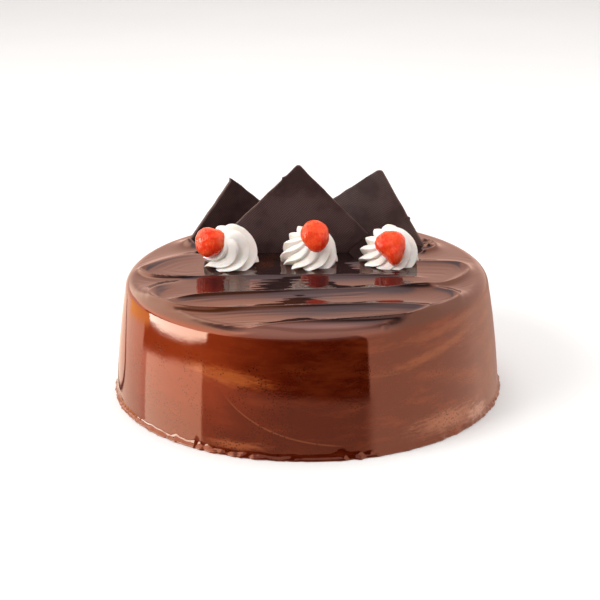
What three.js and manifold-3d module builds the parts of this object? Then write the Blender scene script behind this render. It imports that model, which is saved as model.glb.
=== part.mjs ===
// A round chocolate-glazed hazelnut cake, 20 cm across, with three dark
// chocolate squares standing on one corner, and three piped cream rosettes
// with a piece of candied cherry on each.
// Millimetres, +Z up. The origin is the middle of the cake's underside, and
// the decorated front faces -Y.

import * as THREE from 'three';
import { mergeVertices } from 'three/addons/utils/BufferGeometryUtils.js';
import Module from 'manifold-3d';

const wasm = await Module();
wasm.setup();

// ---------------------------------------------------------------------------
// Driving dimensions

const FIT_GAP = 0.3; // between pieces that touch

const CAKE = {
  footRadius: 100, // the puddle of glaze round the foot
  footHeight: 4.4,
  baseRadius: 98.2, // the wall just above the foot
  topRadius: 92, // the wall just below the rounded rim
  wallBulge: 0.7,
  height: 60.5,
  rimRadius: 6.2,
  dome: 0.5, // the top's rise from the rim to the middle
};

// Ridges that a palette knife leaves on the glaze, from the back to the front,
// most of them round a hairpin turn of the knife. Each route has stations of
// x, y, how far the slope in front runs, and how sharp the lip is.
const RIDGE = {
  crest: 0.5, softCrest: 1.5, backRun: 1.3, softBack: 2.2, inward: 0.35, tail: 0.4,
  tailStretch: 2.6,
};
const LIP = { height: 0.8, share: 0.5, run: 0.65 };
const KNIFE_RIDGES = [
  { height: 1.5, route: [[58, 46, 2.4, 1], [67, 40, 2.4, 1], [68, 31, 2.4, 1], [58, 22, 2.4, 1]] },
  {
    height: 1.7,
    route: [
      [-40, 26, 9, 0], [-56, 23, 9, 0], [-70, 16, 7, 0], [-80, 6, 4.4, 0.1], [-84.5, -2, 2.4, 0.6],
      [-79, -11, 1.8, 1], [-64, -16.5, 2.4, 1], [-52, -16, 5.4, 0.5], [0, -15.5, 6.2, 0.4],
      [40, -16, 5.4, 0.6], [66, -17, 3.6, 0.3],
    ],
  },
  {
    height: 1.8,
    route: [
      [-45, 5, 6.2, 0.2], [-36, 5, 6.2, 0.2], [-24, 5, 6.2, 0.2], [16, 5, 6.2, 0.2],
      [46, 5, 6.2, 0.2], [62, 6.5, 6.2, 0.2], [78, 4.5, 4.4, 0.3], [82, -5.5, 2.4, 0.5],
      [76, -19.5, 1.8, 0.6], [61, -32.5, 1.8, 0.8], [40, -35.5, 6.2, 0.4], [0, -38, 6.2, 0.5],
      [-20, -40, 5.4, 0.9], [-45, -42.5, 4.4, 1], [-62, -45.5, 3.6, 0.8], [-71.5, -48, 2.4, 0.3],
    ],
  },
  {
    height: 1.8,
    route: [
      [-50, -18.5, 7, 0], [-66, -23.5, 7, 0], [-75, -32, 5.4, 0.1], [-75.5, -41, 2.4, 0.4],
      [-70, -49.5, 1.6, 1], [-62, -58, 1.8, 1], [-46, -62.5, 2, 1], [-30, -61.5, 3.6, 0.5],
      [0, -60, 5.4, 0.6], [40, -58, 5.6, 0.3], [56, -59.5, 4.4, 0.2], [63, -58.5, 2.4, 0.2],
    ],
  },
  {
    height: 1.6,
    route: [
      [35, -37, 6.2, 0], [44, -35.5, 6.2, 0], [52, -34.5, 6.2, 0.1], [61, -34.5, 6.2, 0.1],
      [71, -39, 5.4, 0.2], [73, -45.5, 2.4, 0.3],
      [68, -53, 1.6, 0.3], [58, -63.5, 1.6, 0.5], [48, -71.5, 1.6, 1], [35, -75.5, 1.8, 1],
      [18, -78, 2.4, 0.8], [0, -80.5, 4.4, 0.6], [-20, -83.5, 5.4, 0.5], [-38, -86, 4.4, 0.2],
    ],
  },
];

const SQUARE = { side: 52, thick: 2.4, bluntCorner: 1.5 };

// apex: where the two upper edges would meet. turn: about Z, so that the face
// looks towards the middle of the front. lean: backwards. roll: the fall of
// the right-hand edge.
const SQUARES = {
  left: { apex: [-39.9, 60, 92.2], turn: 30.4, lean: 0, roll: 41.2, blunt: 0.2 },
  centre: { apex: [-3.9, 27.1, 108.5], turn: 0, lean: 0, roll: 46.2, blunt: 0.8 },
  right: { apex: [39.4, 50.9, 99.6], turn: -28.5, lean: 6, roll: 53.8, blunt: 1 },
};

// radius: at the widest ring. rise: along the bent axis. bend: from upright
// towards the heading, which is 0 straight to the front and + to the right.
const SWIRL = { groove: 0.24, sunk: 2.5, widestAt: 0.18, fullness: 2.3 };
const ROSETTES = {
  left: {
    foot: [-38.7, 8], radius: 14.4, rise: 21.5, bend: 62, heading: -12,
    phase: 20, lobes: 7, wideAt: 0, spiral: 150, even: 1.25,
  },
  centre: {
    foot: [1.3, 8.5], radius: 14.8, rise: 20, bend: 46, heading: 6,
    phase: 6, lobes: 9, wideAt: 0, spiral: 95, even: 0.4,
  },
  right: {
    foot: [42.2, 9], radius: 15.4, rise: 18, bend: 56, heading: -6,
    phase: 20, lobes: 9, wideAt: 20, spiral: 95, even: 0.4,
  },
};

// Half sizes run across, in depth and up. taper narrows the lower end, and
// tilt turns the upper end to the right.
const CHERRIES = {
  left: { at: [-48.6, 0, 76.2], half: [8.2, 5.6, 7.8], tilt: -38, taper: -0.16, seed: 1 },
  centre: { at: [4.0, 1, 76.7], half: [7.5, 5.8, 8.5], tilt: -6, taper: 0.16, seed: 2 },
  right: { at: [42.2, -1, 70.4], half: [7.3, 5.6, 9.4], tilt: -10, taper: 0.36, seed: 3 },
};

// Mesh steps
const ROUTE_STEPS = 72;
const LATHE_STEPS = 84;
const WALL_STEPS = 4;
const ROSETTE_STEPS = { perLobe: 4, rings: 9 };
const CHERRY_STEPS = { around: 16, rings: 10 };
const TOP_GRID = { across: 7, turns: 3.5, frontToBack: 2.3, behindSquares: 8, reach: 104 };

const RIM_CENTRE = CAKE.topRadius - CAKE.rimRadius;

// ---------------------------------------------------------------------------
// Helpers

const radians = THREE.MathUtils.degToRad;
const smoothstep = THREE.MathUtils.smoothstep;

function solidFrom(geometry) {
  const bare = geometry.clone();
  bare.deleteAttribute('normal');
  bare.deleteAttribute('uv');
  const merged = mergeVertices(bare, 1e-4);
  return new wasm.Manifold(
    new wasm.Mesh({
      numProp: 3,
      vertProperties: new Float32Array(merged.attributes.position.array),
      triVerts: new Uint32Array(merged.index.array),
    }),
  );
}

function geometryFrom(solid) {
  const mesh = solid.getMesh();
  const geometry = new THREE.BufferGeometry();
  geometry.setAttribute('position', new THREE.BufferAttribute(mesh.vertProperties, 3));
  geometry.setIndex(new THREE.BufferAttribute(mesh.triVerts, 1));
  geometry.computeVertexNormals();
  return geometry;
}

// Cuts can leave scraps, which are dropped.
function largestBody(solid) {
  return solid.decompose().sort((a, b) => b.volume() - a.volume())[0];
}

// A closed body from rings of points, each with the same count, between two
// pole points. Rings run anticlockwise as seen from the last pole.
function bodyOfRings(firstPole, rings, lastPole) {
  const count = rings[0].length;
  const points = [firstPole, ...rings.flat(), lastPole];
  const faces = [];
  const vertex = (ring, step) => 1 + ring * count + (step % count);
  const last = points.length - 1;
  for (let step = 0; step < count; step++) {
    faces.push(0, vertex(0, step + 1), vertex(0, step));
    for (let ring = 0; ring + 1 < rings.length; ring++) {
      const [a, b] = [vertex(ring, step), vertex(ring, step + 1)];
      const [c, d] = [vertex(ring + 1, step + 1), vertex(ring + 1, step)];
      faces.push(a, b, c, a, c, d);
    }
    faces.push(last, vertex(rings.length - 1, step), vertex(rings.length - 1, step + 1));
  }
  const geometry = new THREE.BufferGeometry().setFromPoints(points);
  geometry.setIndex(faces);
  return geometry;
}

// ---------------------------------------------------------------------------
// Glaze relief on the top

// A curve through the stations, with the run and the sharpness blended between them.
function ridgeLine(route) {
  const stops = route.map(([x, y]) => new THREE.Vector3(x, y, 0));
  const places = new THREE.CatmullRomCurve3(stops, false, 'centripetal').getPoints(ROUTE_STEPS);
  return places.map((place, step) => {
    const at = ((route.length - 1) * step) / ROUTE_STEPS;
    const span = Math.min(Math.floor(at), route.length - 2);
    const [from, to] = [route[span], route[span + 1]];
    const run = THREE.MathUtils.lerp(from[2], to[2], at - span);
    const sharp = THREE.MathUtils.lerp(from[3], to[3], at - span);
    return { x: place.x, y: place.y, run, sharp };
  });
}

// The knife's channel lies on the inside of each turn, left of a route that
// turns anticlockwise.
function turnOf(route) {
  const [start, middle, end] = [route[0], route[Math.floor(route.length / 2)], route.at(-1)];
  const [ax, ay] = [middle[0] - start[0], middle[1] - start[1]];
  const [bx, by] = [end[0] - middle[0], end[1] - middle[1]];
  return Math.sign(ax * by - ay * bx);
}

const ridges = KNIFE_RIDGES.map(({ route, height }) => ({
  line: ridgeLine(route),
  height,
  turn: turnOf(route),
}));

// The relief that one straight piece of a ridge gives a place: gentle in front
// and inside the turn, short behind.
function pieceHeight({ height, line, turn }, step, x, y) {
  const [from, to] = [line[step], line[step + 1]];
  const [dx, dy] = [to.x - from.x, to.y - from.y];
  const length = Math.hypot(dx, dy);
  const raw = ((x - from.x) * dx + (y - from.y) * dy) / length ** 2;
  const share = THREE.MathUtils.clamp(raw, 0, 1);
  const [awayX, awayY] = [x - from.x - share * dx, y - from.y - share * dy];
  const gap = Math.hypot(awayX, awayY) + 1e-9;
  const inward = (turn * (awayY * dx - awayX * dy)) / (length * gap);
  const gentle = smoothstep(RIDGE.inward * inward - awayY / gap, -0.9, 0.9);
  const sharp = THREE.MathUtils.lerp(from.sharp, to.sharp, share);
  const blunt = (1 - sharp) ** 2;
  const frontRun = THREE.MathUtils.lerp(from.run, to.run, share);
  const backRun = RIDGE.backRun + RIDGE.softBack * blunt;
  const run = THREE.MathUtils.lerp(backRun, frontRun, gentle);
  const tailRun = THREE.MathUtils.lerp(backRun, RIDGE.tailStretch * frontRun, gentle);
  const crest = RIDGE.crest + RIDGE.softCrest * blunt;
  const rounded = Math.hypot(gap, crest) - crest;
  const along = (step + share) / ROUTE_STEPS;
  const ends = smoothstep(along, 0, 0.16) * (1 - smoothstep(along, 0.88, 1));
  const lip = sharp * Math.min(LIP.height, LIP.share * height) * Math.exp(-rounded / LIP.run);
  const near = (1 - RIDGE.tail) * Math.exp(-rounded / run);
  const tail = RIDGE.tail * Math.exp(-rounded / tailRun);
  return (height * (near + tail) + lip) * ends;
}

function ridgeHeight(ridge, x, y) {
  let best = 0;
  for (let step = 0; step < ROUTE_STEPS; step++) {
    best = Math.max(best, pieceHeight(ridge, step, x, y));
  }
  return best;
}

function topHeight(x, y) {
  const radius = Math.hypot(x, y);
  const relief = ridges.reduce((sum, ridge) => sum + ridgeHeight(ridge, x, y), 0);
  const rimFade = 1 - smoothstep(radius, RIM_CENTRE - 4.5, RIM_CENTRE + 0.5);
  const dome = CAKE.dome * Math.max(0, 1 - (radius / RIM_CENTRE) ** 2);
  return CAKE.height + dome + relief * rimFade;
}

// ---------------------------------------------------------------------------
// Cake

// The foot, the wall and the rounded rim, then a cone that stays over the relief.
function wallProfile() {
  const points = [];
  const add = (radius, z) => points.push(new THREE.Vector2(radius, z));
  const wallTop = CAKE.height - CAKE.rimRadius;
  const clear = 8;
  add(0, 0);
  add(CAKE.footRadius - 1.6, 0);
  add(CAKE.footRadius, 1.2);
  add(CAKE.footRadius - 0.5, 2.8);
  for (let step = 0; step <= WALL_STEPS; step++) {
    const t = step / WALL_STEPS;
    const straight = THREE.MathUtils.lerp(CAKE.baseRadius, CAKE.topRadius, t);
    const bulge = CAKE.wallBulge * Math.sin(Math.PI * t);
    add(straight + bulge, THREE.MathUtils.lerp(CAKE.footHeight, wallTop, t));
  }
  for (let step = 1; step <= WALL_STEPS; step++) {
    const angle = (Math.PI / 2) * (step / WALL_STEPS);
    add(RIM_CENTRE + CAKE.rimRadius * Math.cos(angle), wallTop + CAKE.rimRadius * Math.sin(angle));
  }
  add(RIM_CENTRE - clear, CAKE.height + clear);
  add(0, CAKE.height + clear);
  return points;
}

// Grid lines from one side of the block to the other.
function gridLines(stepAt) {
  const lines = [-TOP_GRID.reach];
  while (lines.at(-1) < TOP_GRID.reach) {
    const next = lines.at(-1) + stepAt(lines.at(-1));
    lines.push(Math.min(TOP_GRID.reach, next));
  }
  return lines;
}

// A block whose top carries the relief. It is wider and deeper than the cake.
function reliefBlock() {
  const { across, turns, frontToBack, behindSquares } = TOP_GRID;
  const knifedTo = 48;
  const turnsFrom = 63;
  const rows = gridLines((y) => (y < knifedTo ? frontToBack : behindSquares));
  const lines = gridLines((x) => (Math.abs(x) > turnsFrom ? turns : across));
  const columns = lines.length - 1;
  const top = [];
  for (const y of rows) {
    for (const x of lines) top.push(new THREE.Vector3(x, y, topHeight(x, y)));
  }
  const bottom = top.map((point) => new THREE.Vector3(point.x, point.y, -10));
  const width = columns + 1;
  const faces = [];
  const below = top.length;
  const quad = (a, b, c, d) => faces.push(a, b, c, a, c, d);
  for (let j = 0; j + 1 < rows.length; j++) {
    for (let i = 0; i < columns; i++) {
      const a = j * width + i;
      quad(a, a + 1, a + 1 + width, a + width);
      quad(below + a + width, below + a + 1 + width, below + a + 1, below + a);
    }
    const left = j * width;
    const right = left + columns;
    quad(left, left + width, below + left + width, below + left);
    quad(right + width, right, below + right, below + right + width);
  }
  const lastRow = (rows.length - 1) * width;
  for (let i = 0; i < columns; i++) {
    quad(i + 1, i, below + i, below + i + 1);
    quad(lastRow + i, lastRow + i + 1, below + lastRow + i + 1, below + lastRow + i);
  }
  const geometry = new THREE.BufferGeometry().setFromPoints([...top, ...bottom]);
  geometry.setIndex(faces);
  return geometry;
}

function wholeCake() {
  const turned = new THREE.LatheGeometry(wallProfile(), LATHE_STEPS);
  turned.rotateX(Math.PI / 2);
  return solidFrom(turned).intersect(solidFrom(reliefBlock()));
}

// ---------------------------------------------------------------------------
// Chocolate squares

// The outline in the square's own plane, apex at the origin. Both axes run
// down along an edge. grow widens it all round for the slot in the cake.
function squareOutline(bluntShare, grow) {
  const low = -grow;
  const high = SQUARE.side + grow;
  const blunt = SQUARE.bluntCorner * bluntShare;
  const shape = new THREE.Shape();
  shape.moveTo(low + blunt, low);
  shape.lineTo(high - blunt * 0.4, low);
  shape.lineTo(high, low + blunt * 0.4);
  shape.lineTo(high, high);
  shape.lineTo(low, high);
  shape.lineTo(low, low + blunt);
  shape.closePath();
  return shape;
}

function squareGeometry(place, grow) {
  const depth = SQUARE.thick + 2 * grow;
  const outline = squareOutline(place.blunt, grow);
  const slab = new THREE.ExtrudeGeometry(outline, { depth, bevelEnabled: false });
  return slab.translate(0, 0, -depth / 2).applyMatrix4(squareMatrix(place));
}

function squareMatrix({ apex, turn, lean, roll }) {
  const right = new THREE.Vector3(Math.cos(radians(turn)), Math.sin(radians(turn)), 0);
  const back = new THREE.Vector3(-right.y, right.x, 0);
  const up = new THREE.Vector3(0, 0, Math.cos(radians(lean)));
  up.addScaledVector(back, Math.sin(radians(lean)));
  const fall = radians(roll);
  const rightEdge = right.clone().multiplyScalar(Math.cos(fall));
  rightEdge.addScaledVector(up, -Math.sin(fall));
  const leftEdge = right.clone().multiplyScalar(-Math.sin(fall));
  leftEdge.addScaledVector(up, -Math.cos(fall));
  const normal = rightEdge.clone().cross(leftEdge);
  return new THREE.Matrix4()
    .makeBasis(rightEdge, leftEdge, normal)
    .setPosition(...apex);
}

// ---------------------------------------------------------------------------
// Cream rosettes

function ringRadius(radius, t) {
  const { widestAt } = SWIRL;
  if (t < widestAt) return radius * (0.9 + 0.1 * Math.sin((Math.PI / 2) * (t / widestAt)));
  const beyond = (t - widestAt) / (1 - widestAt);
  return radius * Math.sqrt(1 - beyond ** SWIRL.fullness);
}

// Ridges from a star nozzle, narrow and deep on one side and wide on the other.
function lobeFactor(angle, t, { phase, lobes, wideAt, spiral, even }) {
  const spun = angle - radians(phase) - radians(spiral) * t;
  const uneven = spun - 0.42 * Math.sin(angle - radians(wideAt));
  const wave = Math.sin((lobes * uneven) / 2);
  const sharp = Math.abs(Math.asin(wave)) / (Math.PI / 2);
  const ridge = 0.55 * sharp + 0.45 * Math.abs(wave);
  const narrow = 0.5 - 0.5 * Math.cos(angle - radians(wideAt));
  const flare = 1 + 0.5 * Math.exp(-(((t - 0.1) / 0.12) ** 2));
  return 1 - SWIRL.groove * (even + (1.2 - even) * narrow) * flare * (1 - ridge);
}

function rosetteGeometry(rosette) {
  const { foot, radius, rise, bend, heading, lobes } = rosette;
  const front = radians(heading);
  const ahead = new THREE.Vector3(Math.sin(front), -Math.cos(front), 0);
  const across = new THREE.Vector3(Math.cos(front), Math.sin(front), 0);
  const upright = new THREE.Vector3(0, 0, 1);
  const centre = new THREE.Vector3(foot[0], foot[1], CAKE.height - SWIRL.sunk);
  const firstPole = centre.clone();
  const count = lobes * ROSETTE_STEPS.perLobe;
  const rings = [];
  for (let ring = 0; ring < ROSETTE_STEPS.rings; ring++) {
    const t = ring / ROSETTE_STEPS.rings;
    const tilt = radians(bend) * smoothstep(t, 0, 1);
    const rear = ahead.clone().multiplyScalar(-Math.cos(tilt));
    rear.addScaledVector(upright, Math.sin(tilt));
    const points = [];
    for (let step = 0; step < count; step++) {
      const angle = (2 * Math.PI * step) / count;
      const reach = ringRadius(radius, t) * lobeFactor(angle, t, rosette);
      const point = centre.clone();
      point.addScaledVector(across, reach * Math.cos(angle));
      point.addScaledVector(rear, reach * Math.sin(angle));
      points.push(point);
    }
    rings.push(points);
    const climb = (rise + SWIRL.sunk) / ROSETTE_STEPS.rings;
    centre.addScaledVector(upright, climb * Math.cos(tilt));
    centre.addScaledVector(ahead, climb * Math.sin(tilt));
  }
  return bodyOfRings(firstPole, rings, centre);
}

// ---------------------------------------------------------------------------
// Cherry pieces

function cherryGeometry({ at, half, tilt, taper, seed }, grow) {
  const ball = new THREE.SphereGeometry(1, CHERRY_STEPS.around, CHERRY_STEPS.rings);
  ball.rotateX(Math.PI / 2);
  const place = ball.attributes.position;
  const point = new THREE.Vector3();
  const rolled = new THREE.Matrix4().makeRotationY(radians(tilt));
  for (let i = 0; i < place.count; i++) {
    point.fromBufferAttribute(place, i);
    const lumps =
      0.07 * Math.sin(3 * point.x + 2.1 * seed) * Math.cos(2.6 * point.z + seed) +
      0.05 * Math.sin(4.3 * point.z + 1.7 * seed + 2 * point.y);
    const narrow = 1 + taper * point.z;
    point.multiplyScalar(1 + lumps);
    point.set(
      point.x * (half[0] * narrow + grow),
      point.y * (half[1] + grow),
      point.z * (half[2] + grow),
    );
    point.applyMatrix4(rolled);
    place.setXYZ(i, point.x + at[0], point.y + at[1], point.z + at[2]);
  }
  return ball;
}

// ---------------------------------------------------------------------------
// Assembly

const glaze = new THREE.MeshStandardMaterial({ color: 0x7a4a36, roughness: 0.2, metalness: 0 });
const chocolate = new THREE.MeshStandardMaterial({ color: 0x3c2a2a, roughness: 0.5, metalness: 0 });
const cream = new THREE.MeshStandardMaterial({ color: 0xf6efe8, roughness: 0.6, metalness: 0 });
const candied = new THREE.MeshStandardMaterial({ color: 0xe8502c, roughness: 0.2, metalness: 0 });

const group = new THREE.Group();

function addPiece(name, solid, material) {
  const mesh = new THREE.Mesh(geometryFrom(solid), material);
  mesh.name = name;
  group.add(mesh);
}

let cake = wholeCake();
const raisedCake = cake.translate([0, 0, FIT_GAP]);
for (const [side, place] of Object.entries(SQUARES)) {
  cake = cake.subtract(solidFrom(squareGeometry(place, FIT_GAP)));
  addPiece(`chocolate_square_${side}`, solidFrom(squareGeometry(place, 0)), chocolate);
}

for (const [side, place] of Object.entries(ROSETTES)) {
  const cherry = solidFrom(cherryGeometry(CHERRIES[side], 0));
  const seat = solidFrom(cherryGeometry(CHERRIES[side], FIT_GAP));
  const swirl = solidFrom(rosetteGeometry(place)).subtract(raisedCake).subtract(seat);
  addPiece(`cream_rosette_${side}`, largestBody(swirl), cream);
  addPiece(`cherry_${side}`, largestBody(cherry.subtract(raisedCake)), candied);
}

addPiece('cake', cake, glaze);

export default group;
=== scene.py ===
from math import atan2, cos, pi, radians, sin

import bpy
import numpy as np
from mathutils import Matrix, Vector


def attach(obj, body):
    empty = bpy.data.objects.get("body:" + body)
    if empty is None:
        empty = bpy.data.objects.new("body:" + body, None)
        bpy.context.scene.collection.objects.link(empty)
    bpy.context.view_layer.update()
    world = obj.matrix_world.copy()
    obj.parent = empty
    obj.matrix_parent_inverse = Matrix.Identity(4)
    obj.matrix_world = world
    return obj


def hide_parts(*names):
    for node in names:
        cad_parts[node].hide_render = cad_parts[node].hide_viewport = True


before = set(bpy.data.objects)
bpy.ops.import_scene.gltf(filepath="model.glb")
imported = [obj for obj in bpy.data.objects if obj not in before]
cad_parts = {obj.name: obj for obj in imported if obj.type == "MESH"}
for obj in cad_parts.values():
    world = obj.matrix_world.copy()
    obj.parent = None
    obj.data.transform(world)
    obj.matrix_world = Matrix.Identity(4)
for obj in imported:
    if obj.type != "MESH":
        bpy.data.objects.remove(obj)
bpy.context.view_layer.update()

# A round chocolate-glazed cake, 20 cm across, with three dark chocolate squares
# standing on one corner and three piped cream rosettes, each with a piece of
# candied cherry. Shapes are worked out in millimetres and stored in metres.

MM = 0.001
SEED = 20
SQUARE_SEED = 100
ROSETTE_SEED = 200

# ---------------------------------------------------------------------------
# Driving dimensions in millimetres and degrees. They follow the frame, with
# sharper crests, one more faint ridge, and finer squares and cherry pieces.

CAKE = {
    "foot_height": 4.4,
    "base_radius": 98.2,
    "top_radius": 92.0,
    "wall_bulge": 0.7,
    "height": 60.5,
    "rim_radius": 6.2,
    "dome": 0.5,
}
RIM_CENTRE = CAKE["top_radius"] - CAKE["rim_radius"]
WALL_TOP = CAKE["height"] - CAKE["rim_radius"]

# Ridges that a palette knife leaves on the glaze, from the back to the front:
# the height and a route of (x, y, how far the slope in front runs, how sharp the lip is).
RIDGE = {"crest": 0.3, "soft_crest": 1.5, "back_run": 1.3, "soft_back": 2.2, "inward": 0.35,
         "tail": 0.4, "tail_stretch": 2.6, "turn": 0.9, "rises_to": 0.16, "falls_from": 0.88}
LIP = {"height": 0.8, "share": 0.5, "run": 0.65}
KNIFE_RIDGES = [
    (1.5, [(58, 46, 2.4, 1), (67, 40, 2.4, 1), (68, 31, 2.4, 1), (58, 22, 2.4, 1)]),
    (1.7, [(-40, 26, 9, 0), (-56, 23, 9, 0), (-70, 16, 7, 0), (-80, 6, 4.4, 0.1),
           (-84.5, -2, 2.4, 0.6), (-79, -11, 1.8, 1), (-64, -16.5, 2.4, 1), (-52, -16, 5.4, 0.5),
           (0, -15.5, 6.2, 0.4), (40, -16, 5.4, 0.6), (66, -17, 3.6, 0.3)]),
    (1.8, [(-45, 5, 6.2, 0.2), (-36, 5, 6.2, 0.2), (-24, 5, 6.2, 0.2), (16, 5, 6.2, 0.2),
           (46, 5, 6.2, 0.2), (62, 6.5, 6.2, 0.2), (78, 4.5, 4.4, 0.3), (82, -5.5, 2.4, 0.5),
           (76, -19.5, 1.8, 0.6), (61, -32.5, 1.8, 0.8), (40, -35.5, 6.2, 0.4), (0, -38, 6.2, 0.5),
           (-20, -40, 5.4, 0.9), (-45, -42.5, 4.4, 1), (-62, -45.5, 3.6, 0.8), (-71.5, -48, 2.4, 0.3)]),
    (1.8, [(-50, -18.5, 7, 0), (-66, -23.5, 7, 0), (-75, -32, 5.4, 0.1), (-75.5, -41, 2.4, 0.4),
           (-70, -49.5, 1.6, 1), (-62, -58, 1.8, 1), (-46, -62.5, 2, 1), (-30, -61.5, 3.6, 0.5),
           (0, -60, 5.4, 0.6), (40, -58, 5.6, 0.3), (56, -59.5, 4.4, 0.2), (63, -58.5, 2.4, 0.2)]),
    (1.6, [(35, -37, 6.2, 0), (44, -35.5, 6.2, 0), (52, -34.5, 6.2, 0.1), (61, -34.5, 6.2, 0.1),
           (71, -39, 5.4, 0.2), (73, -45.5, 2.4, 0.3),
           (68, -53, 1.6, 0.3), (58, -63.5, 1.6, 0.5), (48, -71.5, 1.6, 1), (35, -75.5, 1.8, 1),
           (18, -78, 2.4, 0.8), (0, -80.5, 4.4, 0.6), (-20, -83.5, 5.4, 0.5), (-38, -86, 4.4, 0.2)]),
    (0.3, [(-26, -91, 1.6, 0.2), (-5, -93, 1.6, 0.8), (12, -93.5, 1.6, 0.8), (32, -91, 1.6, 0.2)]),
]
ROUTE_STEPS = 144

SQUARE = {"side": 52.0, "thick": 2.4, "blunt": 1.5}
SQUARES = {
    "left": {"apex": (-39.9, 60, 92.2), "turn": 30.4, "lean": 0, "roll": 41.2, "blunt": 0.2,
             "nibs": (0, 0), "spur": 1.6},
    "centre": {"apex": (-3.9, 27.1, 108.5), "turn": 0, "lean": 0, "roll": 46.2, "blunt": 0.8,
               "nibs": (10.8, 0), "spur": 0},
    "right": {"apex": (39.4, 50.9, 99.6), "turn": -28.5, "lean": 6, "roll": 53.8, "blunt": 1,
              "nibs": (0, 30.5), "spur": 0},
}

SWIRL = {"groove": 0.24, "sunk": 2.5, "widest_at": 0.18, "fullness": 2.3}
ROSETTES = {
    "left": {"foot": (-38.7, 8), "radius": 14.4, "rise": 21.5, "bend": 62, "heading": -12,
             "phase": 20, "lobes": 7, "wide_at": 0, "spiral": 150, "even": 1.25},
    "centre": {"foot": (1.3, 8.5), "radius": 14.8, "rise": 20, "bend": 46, "heading": 6,
               "phase": 6, "lobes": 9, "wide_at": 0, "spiral": 95, "even": 0.4},
    "right": {"foot": (42.2, 9), "radius": 15.4, "rise": 18, "bend": 56, "heading": -6,
              "phase": 20, "lobes": 9, "wide_at": 20, "spiral": 95, "even": 0.4},
}

# Half sizes run across, in depth and up. taper widens the upper end, tilt turns
# it to the right, and dent is the side that is pressed in, as degrees
# anticlockwise from the right and how deep.
CHERRIES = {
    "left": {"at": (-48.4, 0, 76.0), "half": (8.4, 5.6, 7.9), "tilt": -38, "taper": -0.1,
             "dent": (35, 1.5), "seed": 1},
    "centre": {"at": (4.2, 1, 77.6), "half": (7.3, 5.8, 8.3), "tilt": -6, "taper": 0.08,
               "dent": (215, 0.5), "seed": 2},
    "right": {"at": (42.6, -1, 71.4), "half": (7.6, 5.6, 9.2), "tilt": -10, "taper": 0.3,
              "dent": (215, 2.0), "seed": 3},
}
DENT_WIDTH = 42  # degrees
CHERRY_LEAN = 20.4  # degrees backwards

# ---------------------------------------------------------------------------
# Numbers and curves


def smoothstep(values, low, high):
    share = np.clip((values - low) / (high - low), 0, 1)
    return share * share * (3 - 2 * share)


def bell(values, centre, width):
    return np.exp(-(((values - centre) / width) ** 2))


def window_between(values, low, high, soft):
    return smoothstep(values, low - soft, low + soft) - smoothstep(values, high - soft, high + soft)


def ripple(points, size, seed, count=14):
    """Smooth seeded unevenness with features of about the given size, mostly within -1 to 1."""
    draw = np.random.default_rng(SEED * 1000 + seed)
    total = np.zeros(points.shape[:-1])
    for _ in range(count):
        direction = draw.normal(size=points.shape[-1])
        direction /= np.linalg.norm(direction)
        wave = 2 * pi / (size * draw.uniform(1.2, 3.0))
        total += np.sin(points @ direction * wave + draw.uniform(0, 2 * pi))
    return total / np.sqrt(count)


def catmull_rom(route, steps):
    """A centripetal curve through the route's points, as the frame's own ridges run."""
    stops = [np.array(point, float) for point in route]
    stops = [2 * stops[0] - stops[1], *stops, 2 * stops[-1] - stops[-2]]
    spans = len(route) - 1
    made = []
    for step in range(steps + 1):
        at = spans * step / steps
        span = min(int(at), spans - 1)
        share = at - span
        p0, p1, p2, p3 = stops[span:span + 4]
        d0, d1, d2 = (np.linalg.norm(b - a) ** 0.5 for a, b in ((p0, p1), (p1, p2), (p2, p3)))
        start = ((p1 - p0) / d0 - (p2 - p0) / (d0 + d1) + (p2 - p1) / d1) * d1
        end = ((p2 - p1) / d1 - (p3 - p1) / (d1 + d2) + (p3 - p2) / d2) * d1
        square = -3 * p1 + 3 * p2 - 2 * start - end
        cube = 2 * p1 - 2 * p2 + start + end
        made.append(p1 + start * share + square * share**2 + cube * share**3)
    return np.array(made)


# ---------------------------------------------------------------------------
# Meshes


def mesh_piece(name, points, faces, material):
    """A smooth-shaded object from points in millimetres."""
    mesh = bpy.data.meshes.new(name)
    mesh.from_pydata((np.asarray(points) * MM).tolist(), [], [list(face) for face in faces])
    mesh.shade_smooth()
    mesh.validate()
    mesh.update()
    piece = bpy.data.objects.new(name, mesh)
    bpy.context.scene.collection.objects.link(piece)
    mesh.materials.append(material)
    return piece


def ring_quads(first, second, count):
    """Quads between two closed rings of points, given by their first indices."""
    return [
        (first + i, first + (i + 1) % count, second + (i + 1) % count, second + i)
        for i in range(count)
    ]


# ---------------------------------------------------------------------------
# Cake

WALL_SLANT = 9.6  # the rounded rim stops this many degrees from level and the wall begins
GRID_COLUMNS = 210
GRID_ROWS = 215
RIM_ROWS = 17
WALL_ROWS = 30
RIM_FADE = (25, 88)  # the relief fades out between these degrees of the rim's arc
INNER_RING = 0.6  # share of the radius at which the flat underside has a ring

# Fine streaks beside the ridges: (distance from one to the next, height). They fade
# out towards the back and in the middle between two ridges.
STREAKS = [(4.1, 0.030), (2.3, 0.014), (1.4, 0.006)]
STREAKED = {"fades": (8, 30), "clear_of_middle": 5, "strength": 0.7, "uneven": 0.5, "drift": 2.5}
DIMPLE = {"at": (36, -84), "radius": 2.4, "rim": 0.2, "rim_width": 0.6, "deep": 0.55,
          "stretch": 1.5}
# Glaze pushed up beside the squares: (place, height, how far it spreads).
MOUNDS = [
    ((-63, 43), 3.0, 4.5),
    ((-60, 38), 1.4, 6.0),
    ((64.5, 34), 2.2, 2.6),
    ((58, 36), 1.4, 4.0),
]

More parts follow.
